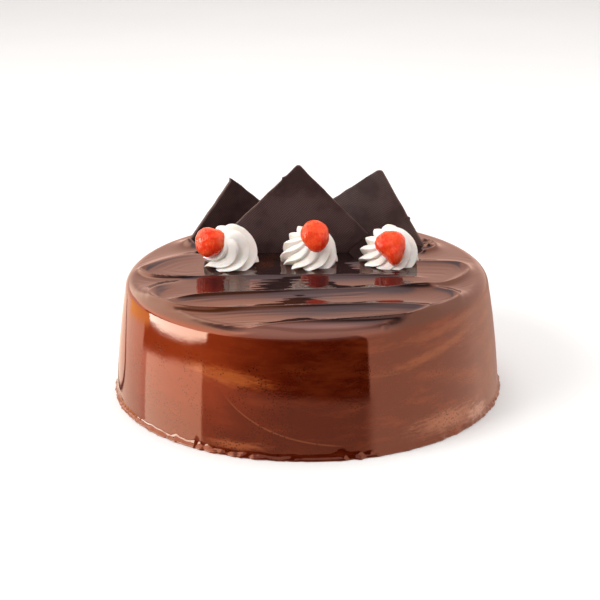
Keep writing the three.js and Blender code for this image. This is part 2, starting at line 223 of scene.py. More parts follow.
# (height, radius) down the puddle at the foot.
FOOT_PROFILE = [(3.8, 98.22), (3.2, 98.3), (2.6, 98.4), (2.1, 98.6), (1.6, 98.9), (1.2, 99.2),
                (0.8, 99.5), (0.4, 99.6), (0.15, 99.4), (0, 98.9)]

# Low relief on the wall. Turns are degrees from the front, more to the right.
SWELLS = [(0.02, 26, 1), (0.003, 4, 2)]  # how far out, size, seed
CRAGS = {"fades": (1.0, 3.6), "patch": 12, "waves": [(0.3, 1.6, 6), (0.25, 4, 7)]}
CRUMB_OUT = 0.5
# (turn, height, half width) of each crumb at the foot.
CRUMBS = [(-50, 3.5, 1.2), (-46, 2.4, 1.5), (-39.5, 5, 0.9), (-33, 6.5, 0.8), (-31, 4, 0.7),
          (-27, 2.5, 1.0), (-18, 3, 0.9), (-14, 3.6, 1.2), (9, 6, 2.2), (14, 3, 1.0),
          (19, 2.4, 1.2), (28, 4, 1.0), (37, 3, 0.9), (46, 3.4, 1.4)]
# Turns and heights of the edge where one layer of glaze ran down over another.
FOLD = ([-22, -15, 0, 8], [26, 18, 9, 5])
LAYER = {"out": 0.05, "edge": 0.7, "edge_at": (-7, 15), "below": 7, "below_at": (-14, 12)}
CURL = {"out": 0.1, "at": (41, 8), "height": (14, 2.2), "fall": 0.18, "waves": 3.4, "twist": 0.35}
LUMP = {"out": 0.45, "at": (57, 5), "height": (4.5, 3.5)}
GAP = {"in": 0.5, "turns": (58, 67), "soft": 1.5, "height": (9.5, 1.1), "fall": 1.1, "from": 59}
PLAIN_BELOW_TOP = (3, 22)  # the relief begins between these depths under the top


def ridge_relief(places, height, route):
    """A ridge with a lip, that falls gently in front and soon behind."""
    line = catmull_rom(route, ROUTE_STEPS)
    first, middle, last = (np.array(route[i][:2], float) for i in (0, len(route) // 2, -1))
    turn = np.sign(np.cross(middle - first, last - middle))
    best = np.zeros(len(places))
    nearest = np.full(len(places), 99.0)
    for step in range(ROUTE_STEPS):
        start, change = line[step], line[step + 1] - line[step]
        run = change[:2]
        offset = places - start[:2]
        share = np.clip(offset @ run / (run @ run), 0, 1)
        away = offset - share[:, None] * run
        gap = np.hypot(*away.T) + 1e-9
        along = (step + share) / ROUTE_STEPS
        front_run = start[2] + share * change[2]
        sharp = np.clip(start[3] + share * change[3], 0, 1)
        blunt = (1 - sharp) ** 2
        inward = away @ (np.array([-run[1], run[0]]) * turn / np.hypot(*run)) / gap
        facing = RIDGE["inward"] * inward - away[:, 1] / gap
        gentle = smoothstep(facing, -RIDGE["turn"], RIDGE["turn"])
        back_run = RIDGE["back_run"] + RIDGE["soft_back"] * blunt
        reach = back_run + (front_run - back_run) * gentle
        crest = RIDGE["crest"] + RIDGE["soft_crest"] * blunt
        rounded = np.hypot(gap, crest) - crest
        ends = smoothstep(along, 0, RIDGE["rises_to"])
        ends = ends * (1 - smoothstep(along, RIDGE["falls_from"], 1))
        lip = sharp * min(LIP["height"], LIP["share"] * height) * np.exp(-rounded / LIP["run"])
        tail_run = back_run + (RIDGE["tail_stretch"] * front_run - back_run) * gentle
        slope = (1 - RIDGE["tail"]) * np.exp(-rounded / reach)
        slope += RIDGE["tail"] * np.exp(-rounded / tail_run)
        best = np.maximum(best, (height * slope + lip) * ends)
        nearest = np.minimum(nearest, gap)
    return best, nearest


def top_relief(places):
    """The height that the palette knife leaves over or under the plain top."""
    ridges = [ridge_relief(places, height, route) for height, route in KNIFE_RIDGES]
    relief = sum(best for best, _ in ridges)
    across, second = np.sort([nearest for _, nearest in ridges], axis=0)[:2]
    knifed = 1 - smoothstep(places[:, 1], *STREAKED["fades"])
    knifed = knifed * smoothstep(second - across, 0, STREAKED["clear_of_middle"])
    strength = STREAKED["strength"] + STREAKED["uneven"] * ripple(places * (0.3, 1), 10, 3)
    for number, (wave, height) in enumerate(STREAKS):
        drift = STREAKED["drift"] * ripple(places * (0.25, 1), 14, 4 + number)
        relief += knifed * strength * height * np.sin(2 * pi * across / wave + drift)
    for (x, y), height, spread in MOUNDS:
        off = np.hypot(places[:, 0] - x, places[:, 1] - y)
        relief += height * np.exp(-((off / spread) ** 1.3))
    x, y = DIMPLE["at"]
    off = np.hypot(places[:, 0] - x, (places[:, 1] - y) / DIMPLE["stretch"])
    relief += DIMPLE["rim"] * bell(off, DIMPLE["radius"], DIMPLE["rim_width"])
    relief -= DIMPLE["deep"] * bell(off, 0, 0.8 * DIMPLE["radius"])
    return relief


def top_points():
    """A square grid laid over the disc inside the rim, finer at the sides and in the front."""
    columns = np.linspace(-1, 1, GRID_COLUMNS + 1)
    columns = 1.25 * columns - 0.25 * columns**3
    pace = np.linspace(0, 1, GRID_ROWS + 1)
    rows = -1 + 2 * (0.68 * pace + 0.32 * pace**3)
    across, deep = np.meshgrid(columns, rows)
    x = across * np.sqrt(1 - deep**2 / 2) * RIM_CENTRE
    y = deep * np.sqrt(1 - across**2 / 2) * RIM_CENTRE
    return np.stack([x.ravel(), y.ravel()], 1)


def grid_border():
    """The grid's outer points in order, anticlockwise from above."""
    width = GRID_COLUMNS + 1
    front = list(range(GRID_COLUMNS))
    right = [j * width + GRID_COLUMNS for j in range(GRID_ROWS)]
    back = [GRID_ROWS * width + i for i in range(GRID_COLUMNS, 0, -1)]
    left = [j * width for j in range(GRID_ROWS, 0, -1)]
    return front + right + back + left


def wall_rows():
    """(radius, height, outward, upward, share of the top's relief) down to the underside."""
    rows = []
    for angle in np.linspace(90, WALL_SLANT, RIM_ROWS)[1:]:
        turned = radians(angle)
        radius = RIM_CENTRE + CAKE["rim_radius"] * cos(turned)
        height = WALL_TOP + CAKE["rim_radius"] * sin(turned)
        share = float(smoothstep(np.array(angle), *RIM_FADE))
        rows.append((radius, height, cos(turned), sin(turned), share))
    top_radius, top_height = rows[-1][:2]
    for t in np.linspace(1, 0, WALL_ROWS)[1:]:
        straight = CAKE["base_radius"] + (top_radius - CAKE["base_radius"]) * t
        height = CAKE["foot_height"] + (top_height - CAKE["foot_height"]) * t
        rows.append((straight + CAKE["wall_bulge"] * 4 * t * (1 - t), height, 1, 0, 0))
    for height, radius in FOOT_PROFILE:
        rows.append((radius, height, 1, 0, 0))
    return rows


def wall_relief(azimuth, ring):
    """How far the glaze on the wall stands out. azimuth is the turn to the right of the front."""
    z = ring[:, 2]
    out = sum(height * ripple(ring, size, seed) for height, size, seed in SWELLS)
    low = 1 - smoothstep(z, *CRAGS["fades"])
    rough = np.clip(0.5 + 0.6 * ripple(ring, CRAGS["patch"], 5), 0.05, 1.2)
    crags = sum(height * ripple(ring, size, seed) for height, size, seed in CRAGS["waves"])
    out += low * rough * crags
    for at, tall, wide in CRUMBS:
        out += CRUMB_OUT * bell(azimuth, at, wide) * (1 - smoothstep(z, 0.3 * tall, tall))
    edge = np.interp(azimuth, *FOLD)
    out += LAYER["out"] * bell(z, edge, LAYER["edge"]) * bell(azimuth, *LAYER["edge_at"])
    below = 1 - smoothstep(z, edge - LAYER["below"], edge)
    out += LAYER["out"] * below * bell(azimuth, *LAYER["below_at"])
    height, tall = CURL["height"]
    middle = height - CURL["fall"] * (azimuth - CURL["at"][0])
    curl = bell(azimuth, *CURL["at"]) * bell(z, middle, tall)
    out += CURL["out"] * curl * np.sin(z * CURL["waves"] + azimuth * CURL["twist"])
    out += LUMP["out"] * bell(azimuth, *LUMP["at"]) * bell(z, *LUMP["height"])
    height, tall = GAP["height"]
    gap = bell(z, height - GAP["fall"] * (azimuth - GAP["from"]), tall)
    out -= GAP["in"] * gap * window_between(azimuth, *GAP["turns"], GAP["soft"])
    return out * smoothstep(CAKE["height"] - z, *PLAIN_BELOW_TOP)


def cake_mesh():
    places = top_points()
    radius = np.hypot(*places.T)
    dome = CAKE["dome"] * np.maximum(0, 1 - (radius / RIM_CENTRE) ** 2)
    height = CAKE["height"] + dome + top_relief(places)
    points = [np.column_stack([places, height])]
    width = GRID_COLUMNS + 1
    faces = []
    for j in range(GRID_ROWS):
        for i in range(GRID_COLUMNS):
            a = j * width + i
            faces.append((a, a + 1, a + 1 + width, a + width))
    border = grid_border()
    count = len(border)
    outward = places[border] / np.hypot(*places[border].T)[:, None]
    azimuth = np.degrees(np.arctan2(outward[:, 0], -outward[:, 1]))
    first = len(places)
    rows = wall_rows()
    for number, (row_radius, z, out, up, share) in enumerate(rows):
        arc = RIM_CENTRE + CAKE["rim_radius"] * (pi / 2 - atan2(up, out))
        relief = share * top_relief(outward * arc) if share else 0
        plain = np.column_stack([outward * row_radius, np.full(count, z)])
        if not share:
            relief = wall_relief(azimuth, plain) * (1 if z > 0 else 0)
        ring = plain + np.column_stack([outward * out, np.full(count, up)]) * \
            np.reshape(relief * np.ones(count), (-1, 1))
        points.append(ring)
        if number == 0:
            for i in range(count):
                j = (i + 1) % count
                faces.append((border[j], border[i], first + i, first + j))
        else:
            faces += ring_quads(first + count * number, first + count * (number - 1), count)
    last = first + count * (len(rows) - 1)
    inner = last + count
    points.append(np.column_stack([INNER_RING * points[-1][:, :2], np.zeros(count)]))
    faces += ring_quads(inner, last, count)
    centre = inner + count
    points.append(np.zeros((1, 3)))
    faces += [(centre, inner + (i + 1) % count, inner + i) for i in range(count)]
    return np.concatenate(points), faces


# ---------------------------------------------------------------------------
# Chocolate squares

SQUARE_STEPS = (0.25, 1.0)
BEVEL = {"deep": 0.3, "run": 0.6}
SCRAPED = {"deep": 0.03, "apart": 0.9}
RAGGED_EDGE = {"out": 0.12, "run": 3}
NIB = {"out": 0.9, "half": 0.8, "run": 1.2}
SPUR = {"run": 2.4, "sideways": 0.2}


def square_axes(place):
    turn, lean, roll = (radians(place[key]) for key in ("turn", "lean", "roll"))
    right = np.array([cos(turn), sin(turn), 0])
    back = np.array([-right[1], right[0], 0])
    up = np.array([0, 0, cos(lean)]) + back * sin(lean)
    right_edge = right * cos(roll) - up * sin(roll)
    left_edge = -right * sin(roll) - up * cos(roll)
    return right_edge, left_edge, np.cross(right_edge, left_edge)


def edge_stations(side, step):
    """Stations over the side, closer together next to both edges."""
    near = [0, 0.12, 0.3, 0.6]
    middle = np.linspace(1, side - 1, int((side - 2) / step) + 1)
    return np.array(near + list(middle) + [side - station for station in reversed(near)])


def nib(along, across, at):
    """How far a nib at a station along an edge stands out; a station of 0 is no nib."""
    near = np.clip(1 - across / NIB["run"], 0, 1)
    return NIB["out"] * bell(along, at, NIB["half"]) * near * (at > 0)


def square_mesh(place, seed):
    """A slab with fine lines, bevels and nibs. u and v run down the edges from the upper corner."""
    side, thick = SQUARE["side"], SQUARE["thick"]
    u, v = np.meshgrid(*(edge_stations(side, step) for step in SQUARE_STEPS))
    rows, columns = u.shape
    edge = np.minimum.reduce([u, side - u, v, side - v])
    bevel = BEVEL["deep"] * (1 - np.clip(edge / BEVEL["run"], 0, 1)) ** 2
    flat = np.stack([u, v], -1)
    wavy = u + 0.5 * ripple(flat, 20, seed)
    lines = SCRAPED["deep"] * np.sin(2 * pi * wavy / SCRAPED["apart"])
    lines *= 0.6 + 0.4 * ripple(flat, 9, seed + 1)
    shift = RAGGED_EDGE["out"] * ripple(flat, 5, seed + 2)
    blunt = SQUARE["blunt"] * place["blunt"]
    corner = np.clip(1 - (u + v) / (blunt + 1e-6), 0, 1) * blunt / 2
    near = RAGGED_EDGE["run"]
    pull = (1 - np.clip(edge / near, 0, 1)) * shift
    inward = np.sign(side / 2 - u), np.sign(side / 2 - v)
    u = u + inward[0] * pull * (np.minimum(u, side - u) < near) + corner
    v = v + inward[1] * pull * (np.minimum(v, side - v) < near) + corner
    left_nib, right_nib = place["nibs"]
    u = u - nib(flat[..., 1], flat[..., 0], left_nib)
    v = v - nib(flat[..., 0], flat[..., 1], right_nib)
    spur = place["spur"] * np.clip(1 - (flat[..., 0] + flat[..., 1]) / SPUR["run"], 0, 1) ** 2
    u, v = u - spur, v + SPUR["sideways"] * spur
    right_edge, left_edge, normal = square_axes(place)
    origin = np.array(place["apex"])
    centre = origin + u[..., None] * right_edge + v[..., None] * left_edge
    front = centre - normal * (thick / 2 - bevel + lines)[..., None]
    back = centre + normal * (thick / 2 - bevel + lines)[..., None]
    points = np.concatenate([front.reshape(-1, 3), back.reshape(-1, 3)])
    half = rows * columns
    faces = []
    for j in range(rows - 1):
        for i in range(columns - 1):
            a = j * columns + i
            faces.append((a, a + columns, a + columns + 1, a + 1))
            faces.append((half + a, half + a + 1, half + a + columns + 1, half + a + columns))
    rim = list(range(columns - 1))
    rim += [j * columns + columns - 1 for j in range(rows - 1)]
    rim += [(rows - 1) * columns + i for i in range(columns - 1, 0, -1)]
    rim += [j * columns for j in range(rows - 1, 0, -1)]
    for step, a in enumerate(rim):
        b = rim[(step + 1) % len(rim)]
        faces.append((a, b, half + b, half + a))
    return points, faces


# ---------------------------------------------------------------------------
# Cream rosettes

ROSETTE_MESH = {"rings": 90, "per_lobe": 32}
BUNCHED = 0.42  # the share by which lobes are wider on one side and narrower on the other
FINE_GROOVE = 0.007  # share of the radius
# The grooves are deeper low on the swirl; places are shares of the way up.
LOW_GROOVES = {"more": 0.5, "at": 0.1, "half": 0.12}


def ring_radius(radius, t):
    widest = SWIRL["widest_at"]
    if t < widest:
        return radius * (0.9 + 0.1 * sin(pi / 2 * t / widest))
    beyond = (t - widest) / (1 - widest)
    return radius * (1 - beyond ** SWIRL["fullness"]) ** 0.5


def lobe_factor(angle, t, rosette):
    """Sharp ridges from a star nozzle, narrow and deep on one side and wide on the other."""
    wide_at = radians(rosette["wide_at"])
    spun = angle - radians(rosette["phase"]) - radians(rosette["spiral"]) * t
    uneven = spun - BUNCHED * np.sin(angle - wide_at)
    wave = np.sin(rosette["lobes"] * uneven / 2)
    sharp = np.abs(np.arcsin(wave)) / (pi / 2)
    ridge = 0.55 * sharp + 0.45 * np.abs(wave)
    narrow = 0.5 - 0.5 * np.cos(angle - wide_at)
    even = rosette["even"]
    low = 1 + LOW_GROOVES["more"] * bell(t, LOW_GROOVES["at"], LOW_GROOVES["half"])
    deep = SWIRL["groove"] * (even + (1.2 - even) * narrow) * low
    fine = FINE_GROOVE * np.cos(3.5 * rosette["lobes"] * uneven) * (1 - t)
    return 1 - deep * (1 - ridge) + fine


def rosette_mesh(rosette, seed):
    rings = ROSETTE_MESH["rings"]
    count = rosette["lobes"] * ROSETTE_MESH["per_lobe"]
    heading = radians(rosette["heading"])
    ahead = np.array([sin(heading), -cos(heading), 0])
    across = np.array([cos(heading), sin(heading), 0])
    upright = np.array([0, 0, 1.0])
    centre = np.array([*rosette["foot"], CAKE["height"] - SWIRL["sunk"]])
    climb = (rosette["rise"] + SWIRL["sunk"]) / rings
    angle = np.linspace(0, 2 * pi, count, endpoint=False)
    points = [centre[None, :]]
    faces = [(0, 1 + (i + 1) % count, 1 + i) for i in range(count)]
    for ring in range(rings):
        t = ring / rings
        tilt = radians(rosette["bend"]) * float(smoothstep(np.array(t), 0, 1))
        rear = -ahead * cos(tilt) + upright * sin(tilt)
        reach = ring_radius(rosette["radius"], t) * lobe_factor(angle, t, rosette)
        around = across * np.cos(angle)[:, None] + rear * np.sin(angle)[:, None]
        placed = centre + reach[:, None] * around
        uneven = 0.4 * ripple(placed, 8, seed) + 0.09 * ripple(placed, 2.5, seed + 50)
        placed = placed + around * (uneven * (1 - 0.7 * t))[:, None]
        points.append(placed)
        if ring:
            faces += ring_quads(1 + (ring - 1) * count, 1 + ring * count, count)
        centre = centre + climb * (upright * cos(tilt) + ahead * sin(tilt))
    last = 1 + rings * count
    start = 1 + (rings - 1) * count
    points.append(centre[None, :])
    faces += [(start + i, start + (i + 1) % count, last) for i in range(count)]
    return np.concatenate(points), faces


# ---------------------------------------------------------------------------
# Cherry pieces

CHERRY_MESH = {"rings": 70, "around": 132}
CHERRY_SIZE = 8.0  # about half a piece's length
DENTS = {"waves": [(0.9, 9, 60), (0.35, 3.5, 70)], "deep": 0.14}
SKIN = {"rough": 0.1, "fibre": 0.05, "fibres": 5, "wavy": 1.5}
PLUMP = 0.8  # 1 swells out like an ellipsoid, and less is fuller


def cherry_mesh(cherry):
    """A lump that is swollen out of a flat outline, which leans back a little."""
    rings, count = CHERRY_MESH["rings"], CHERRY_MESH["around"]
    polar = np.linspace(0, pi, rings + 2)[1:-1]
    angle = np.linspace(0, 2 * pi, count, endpoint=False)
    across, deep, tall = cherry["half"]
    dent_at, dent_deep = cherry["dent"]
    from_dent = (np.degrees(angle) - dent_at + 180) % 360 - 180
    pressed = 1 - dent_deep / across * bell(from_dent, 0, DENT_WIDTH)
    wide = pressed * across * np.cos(angle) * (1 + cherry["taper"] * np.sin(angle))
    high = pressed * tall * np.sin(angle)
    tilt = radians(cherry["tilt"])
    outline = np.column_stack([wide * cos(tilt) + high * sin(tilt),
                               high * cos(tilt) - wide * sin(tilt)])
    flat = [np.array([[0, 0, 1.0]])]
    for down in polar:
        flat.append(np.column_stack([outline * sin(down) ** PLUMP, np.full(count, cos(down))]))
    flat.append(np.array([[0, 0, -1.0]]))
    flat = np.concatenate(flat)
    right, up, front = flat.T
    lean = radians(CHERRY_LEAN)
    seed = cherry["seed"]
    dents = sum(share * ripple(flat, size, first + seed) for share, size, first in DENTS["waves"])
    thick = deep * front * (1 + DENTS["deep"] * dents)
    placed = np.column_stack([right, up * sin(lean) - thick * cos(lean),
                              up * cos(lean) + thick * sin(lean)])
    placed += SKIN["rough"] * ripple(placed, 1.7, 40 + seed)[:, None] * placed / CHERRY_SIZE
    wavy = right * SKIN["fibres"] + SKIN["wavy"] * ripple(flat, 5, 80 + seed)
    fibres = SKIN["fibre"] * np.sin(wavy)
    placed *= (1 + fibres / CHERRY_SIZE)[:, None]
    faces = [(0, 1 + i, 1 + (i + 1) % count) for i in range(count)]
    for ring in range(rings - 1):
        faces += ring_quads(1 + (ring + 1) * count, 1 + ring * count, count)
    last = 1 + rings * count
    start = 1 + (rings - 1) * count
    faces += [(start + (i + 1) % count, start + i, last) for i in range(count)]
    return placed + np.array(cherry["at"]), faces


# ---------------------------------------------------------------------------
# Node graphs


def add(tree, kind, inputs=None, **settings):
    """A node with its settings, and inputs that are either values or links."""
    made = tree.nodes.new(kind)
    for key, value in settings.items():
        setattr(made, key, value)
    for key, value in (inputs or {}).items():
        if isinstance(value, bpy.types.NodeSocket):
            tree.links.new(value, made.inputs[key])
        else:
            made.inputs[key].default_value = value
    return made


def maths(tree, operation, *values):
    made = add(tree, "ShaderNodeMath", dict(enumerate(values)), operation=operation)
    return made.outputs[0]


def window(tree, value, low, high, soft):
    """1 between low and high, 0 outside, with soft sides."""
    rise = add(tree, "ShaderNodeMapRange",
               {"Value": value, "From Min": low - soft, "From Max": low + soft},
               interpolation_type="SMOOTHSTEP")
    fall = add(tree, "ShaderNodeMapRange",
               {"Value": value, "From Min": high - soft, "From Max": high + soft},
               interpolation_type="SMOOTHSTEP")
    return maths(tree, "SUBTRACT", rise.outputs[0], fall.outputs[0])


def blend(tree, share, first, second):
    made = add(tree, "ShaderNodeMix", {0: share, 6: first, 7: second}, data_type="RGBA")
    return made.outputs[2]


def ramp(tree, value, low, high, to_low=0.0, to_high=1.0):
    made = add(tree, "ShaderNodeMapRange",
               {"Value": value, "From Min": low, "From Max": high,
                "To Min": to_low, "To Max": to_high}, interpolation_type="SMOOTHSTEP")
    return made.outputs[0]


def new_material(name):
    material = bpy.data.materials.new(name)
    material.use_nodes = True
    tree = material.node_tree
    shader = next(node for node in tree.nodes if node.type == "BSDF_PRINCIPLED")
    place = add(tree, "ShaderNodeTexCoord").outputs["Object"]
    millimetres = add(tree, "ShaderNodeMapping", {"Vector": place, "Scale": (1000, 1000, 1000)})
    return material, tree, shader, millimetres.outputs[0]


def noise(tree, where, scale, detail=3.0, rough=0.55, stretch=(1, 1, 1), turn=(0, 0, 0)):
    shaped = add(tree, "ShaderNodeMapping",
                 {"Vector": where, "Scale": stretch, "Rotation": turn}).outputs[0]
    made = add(tree, "ShaderNodeTexNoise",
               {"Vector": shaped, "Scale": scale, "Detail": detail, "Roughness": rough})
    return made.outputs[0]


def bump(tree, height, strength, distance, base=None):
    inputs = {"Height": height, "Strength": strength, "Distance": distance}
    if base is not None:
        inputs["Normal"] = base
    return add(tree, "ShaderNodeBump", inputs).outputs[0]


def grey(value):
    return (value, value, value, 1)


# ---------------------------------------------------------------------------
# Materials

DEEP = (0.058, 0.0045, 0.0008, 1)
# Painted light from the left: the warmer colour the wall's glaze takes round the left.
PAINTED_LEFT_LIGHT_ORANGE = (0.22, 0.026, 0.006, 1)
AMBER = (0.19, 0.032, 0.007, 1)
# Painted shade in the wall's small pores.
PORE_SHADE = (0.03, 0.004, 0.001, 1)
# Painted highlight along the fold where one layer of glaze ran over another.
FOLD_HIGHLIGHT = (0.36, 0.12, 0.05, 1)
# The same edge as FOLD, as a curve: turn at its top, how fast it falls, drop, lowest height.
FOLD_CURVE = {"from": -22.0, "run": -15.0, "drop": 22.0, "low": 4.0}
TOP_DARK = (0.015, 0.008, 0.008, 1)
TOP_WARM = (0.06, 0.016, 0.006, 1)
TOP_BROW = (0.15, 0.06, 0.045, 1)
WARM_PLACE = (-36.0, -70.0)
# Lighter patches on the wall: (degrees of turn, height, half width, half height, slant, share, colour).
# The first two, round the left, are painted light from the left; the others are amber streaks and
# lighter patches.
AMBER_PATCHES_AND_PAINTED_LIGHT = [
    (-24, 38, 17, 5, -0.15, 0.75, (0.36, 0.085, 0.02, 1)),
    (-40, 46, 22, 6, 0.1, 0.35, (0.24, 0.034, 0.007, 1)),
    (40, 43.5, 26, 3.2, 0.28, 0.75, (0.22, 0.06, 0.018, 1)),
    (45, 53, 26, 3.0, 0.1, 0.6, (0.2, 0.05, 0.014, 1)),
    (52, 26, 24, 6, -0.5, 0.35, (0.2, 0.045, 0.012, 1)),
    (44, 8.5, 17, 7, -0.05, 0.85, (0.36, 0.14, 0.075, 1)),
    (57, 5, 7, 5, 0.0, 0.8, (0.5, 0.28, 0.2, 1)),
    (-20, 5.5, 12, 3, 0.0, 0.8, (0.3, 0.075, 0.025, 1)),
]


def length_of(tree, *parts):
    """The length of a vector with the given parts."""
    joined = add(tree, "ShaderNodeCombineXYZ", dict(enumerate(parts))).outputs[0]
    made = add(tree, "ShaderNodeVectorMath", {0: joined}, operation="LENGTH")
    return made.outputs["Value"]


def marbled_colour(tree, where, turn, height, cloud):
    """The wall's glaze: deep brown with amber streaks, warmed round the left and higher up by painted
    light from the left.
    """
    flow = noise(tree, where, 0.05, 5, 0.6, (1, 1, 3.6), (0.25, -0.2, 0))
    strands = noise(tree, where, 0.16, 5, 0.65, (1, 1, 5.0), (0.25, -0.25, 0))
    marbled = ramp(tree, turn, 0, 40, 0.3, 0.6)
    streaky = maths(tree, "MULTIPLY", ramp(tree, flow, 0.45, 0.7), marbled)
    colour = blend(tree, streaky, DEEP, AMBER)
    # Painted light from the left, stronger higher up on the wall.
    drift = maths(tree, "MULTIPLY_ADD", cloud, 26.0, turn)
    painted_left_light = maths(tree, "MULTIPLY", ramp(tree, drift, 10, -24, 0, 0.9),
                   ramp(tree, height, 0, 42, 0.4, 1))
    colour = blend(tree, painted_left_light, colour, PAINTED_LEFT_LIGHT_ORANGE)
    # Lighter patches; the first two, round the left, are painted light from the left.
    for at, middle, wide, tall, slant, share, shade in AMBER_PATCHES_AND_PAINTED_LIGHT:
        off = maths(tree, "SUBTRACT", turn, at)
        line = maths(tree, "MULTIPLY_ADD", off, slant, middle)
        wavy = maths(tree, "MULTIPLY_ADD", flow, 3.0, maths(tree, "SUBTRACT", height, line))
        up = maths(tree, "DIVIDE", maths(tree, "SUBTRACT", wavy, 1.5), tall)
        far = length_of(tree, maths(tree, "DIVIDE", off, wide), up)
        ragged = maths(tree, "MULTIPLY_ADD", strands, 1.6, far)
        colour = blend(tree, ramp(tree, ragged, 1.9, 0.9, 0, share), colour, shade)
    return colour


def fold_highlight_and_shade(tree, colour, turn, height):
    """A painted highlight along the edge where one glaze layer ran over another, and painted shade
    below it.
    """
    beyond = maths(tree, "SUBTRACT", turn, FOLD_CURVE["from"])
    fade = maths(tree, "EXPONENT", maths(tree, "DIVIDE", beyond, FOLD_CURVE["run"]))
    edge = maths(tree, "MULTIPLY_ADD", fade, FOLD_CURVE["drop"], FOLD_CURVE["low"])
    over = maths(tree, "SUBTRACT", height, edge)
    # Painted shade darkens the glaze below the fold's edge.
    lower = maths(tree, "MULTIPLY", ramp(tree, over, 0.4, -0.4), ramp(tree, over, -14, 0))
    lower = maths(tree, "MULTIPLY", lower, window(tree, turn, -24, 6, 5))
    colour = blend(tree, maths(tree, "MULTIPLY", lower, 0.45), colour, DEEP)
    # A painted highlight runs along the fold's edge.
    line = maths(tree, "MULTIPLY", window(tree, over, -0.35, 0.35, 0.3),
                 window(tree, turn, -22, 8, 3))
    return blend(tree, maths(tree, "MULTIPLY", line, 0.3), colour, FOLD_HIGHLIGHT)


def pores_on_wall(tree, where, height):
    """1 in the small pores that lie in patches on the wall."""
    pores = add(tree, "ShaderNodeTexVoronoi", {"Vector": where, "Scale": 0.75}).outputs["Distance"]
    patchy = noise(tree, where, 0.09, 3, 0.6)
    dots = maths(tree, "MULTIPLY", ramp(tree, pores, 0.4, 0.22), ramp(tree, patchy, 0.44, 0.58))
    return maths(tree, "MULTIPLY", dots, ramp(tree, height, 49, 42))


def top_colour(tree, x, y, cloud):
    """Dark under the gloss, warmer near the front left and along the front edge."""
    away = [maths(tree, "SUBTRACT", place, at) for place, at in zip((x, y), WARM_PLACE)]
    off = length_of(tree, *away)
    near = ramp(tree, maths(tree, "MULTIPLY_ADD", cloud, 40.0, off), 66, 34)
    warm = maths(tree, "MAXIMUM", near, ramp(tree, cloud, 0.58, 0.68, 0, 0.5))
    warm = maths(tree, "MULTIPLY", warm, ramp(tree, length_of(tree, x, y), 89, 84))
    colour = blend(tree, warm, TOP_DARK, TOP_WARM)
    brow = maths(tree, "MULTIPLY", ramp(tree, y, -78, -86), window(tree, x, -34, 48, 8))
    return blend(tree, brow, colour, TOP_BROW)


def glaze_material():
    material, tree, shader, where = new_material("glaze")
    x, y, height = add(tree, "ShaderNodeSeparateXYZ", {0: where}).outputs
    turn = maths(tree, "DEGREES", maths(tree, "ARCTAN2", x, maths(tree, "MULTIPLY", y, -1.0)))
    cloud = noise(tree, where, 0.03, 4, 0.55, (1, 1, 2.2), (0.3, -0.2, 0))
    colour = marbled_colour(tree, where, turn, height, cloud)
    colour = fold_highlight_and_shade(tree, colour, turn, height)
    dots = pores_on_wall(tree, where, height)
    # Painted shade darkens the pores.
    colour = blend(tree, maths(tree, "MULTIPLY", dots, 0.75), colour, PORE_SHADE)
    on_top = ramp(tree, height, 56, 59.5)
    colour = blend(tree, on_top, colour, top_colour(tree, x, y, cloud))
    tree.links.new(colour, shader.inputs["Base Color"])
    fine = noise(tree, where, 0.9, 4, 0.6)
    tree.links.new(ramp(tree, fine, 0.3, 0.7, 0.015, 0.04), shader.inputs["Roughness"])
    lumps = noise(tree, where, 0.35, 3, 0.55)
    uneven = maths(tree, "MULTIPLY_ADD", lumps, 0.35, fine)
    uneven = maths(tree, "MULTIPLY_ADD", dots, -0.45, uneven)
    tree.links.new(bump(tree, uneven, 0.045, 0.0002), shader.inputs["Normal"])
    shader.inputs["IOR"].default_value = 1.55
    shader.inputs["Specular IOR Level"].default_value = 1.0
    shader.inputs["Specular Tint"].default_value = (1.0, 0.55, 0.42, 1)
    return material


def chocolate_material(name, across):
    """Dark chocolate that was scraped in fine lines; across is the way over the lines."""
    material, tree, shader, where = new_material(name)
    cloud = noise(tree, where, 0.06, 4, 0.6)
    grain = noise(tree, where, 1.4, 3, 0.6)
    station = add(tree, "ShaderNodeVectorMath", {0: where, 1: tuple(across)},
                  operation="DOT_PRODUCT").outputs["Value"]
    wavy = maths(tree, "MULTIPLY_ADD", cloud, 3.0, station)
    line = maths(tree, "SINE", maths(tree, "MULTIPLY", wavy, 2 * pi / 0.95))
    broken = maths(tree, "MULTIPLY", ramp(tree, line, -0.2, 1), ramp(tree, cloud, 0.35, 0.6))
    colour = blend(tree, ramp(tree, cloud, 0.35, 0.7), (0.034, 0.016, 0.0155, 1),
                   (0.05, 0.027, 0.026, 1))
    colour = blend(tree, maths(tree, "MULTIPLY", broken, 0.75), colour, (0.11, 0.066, 0.06, 1))
    colour = blend(tree, ramp(tree, grain, 0.55, 0.75, 0, 0.3), colour, (0.09, 0.055, 0.05, 1))
    tree.links.new(colour, shader.inputs["Base Color"])
    tree.links.new(ramp(tree, grain, 0.3, 0.7, 0.42, 0.58), shader.inputs["Roughness"])
    lined = bump(tree, line, 0.25, 0.0001)
    tree.links.new(bump(tree, grain, 0.15, 0.0003, lined), shader.inputs["Normal"])
    shader.inputs["Specular IOR Level"].default_value = 0.3
    return material


def cream_material():
    material, tree, shader, where = new_material("cream")
    cloud = noise(tree, where, 0.16, 3, 0.5)
    grain = noise(tree, where, 1.8, 3, 0.6)
    colour = blend(tree, ramp(tree, cloud, 0.35, 0.7), (0.9, 0.82, 0.75, 1),
                   (0.93, 0.88, 0.83, 1))
    tree.links.new(colour, shader.inputs["Base Color"])
    tree.links.new(ramp(tree, grain, 0.3, 0.7, 0.4, 0.55), shader.inputs["Roughness"])
    tree.links.new(bump(tree, grain, 0.15, 0.0003), shader.inputs["Normal"])
    shader.inputs["Subsurface Weight"].default_value = 0.5
    shader.inputs["Subsurface Radius"].default_value = (1.0, 0.6, 0.4)
    shader.inputs["Subsurface Scale"].default_value = 0.0015
    return material


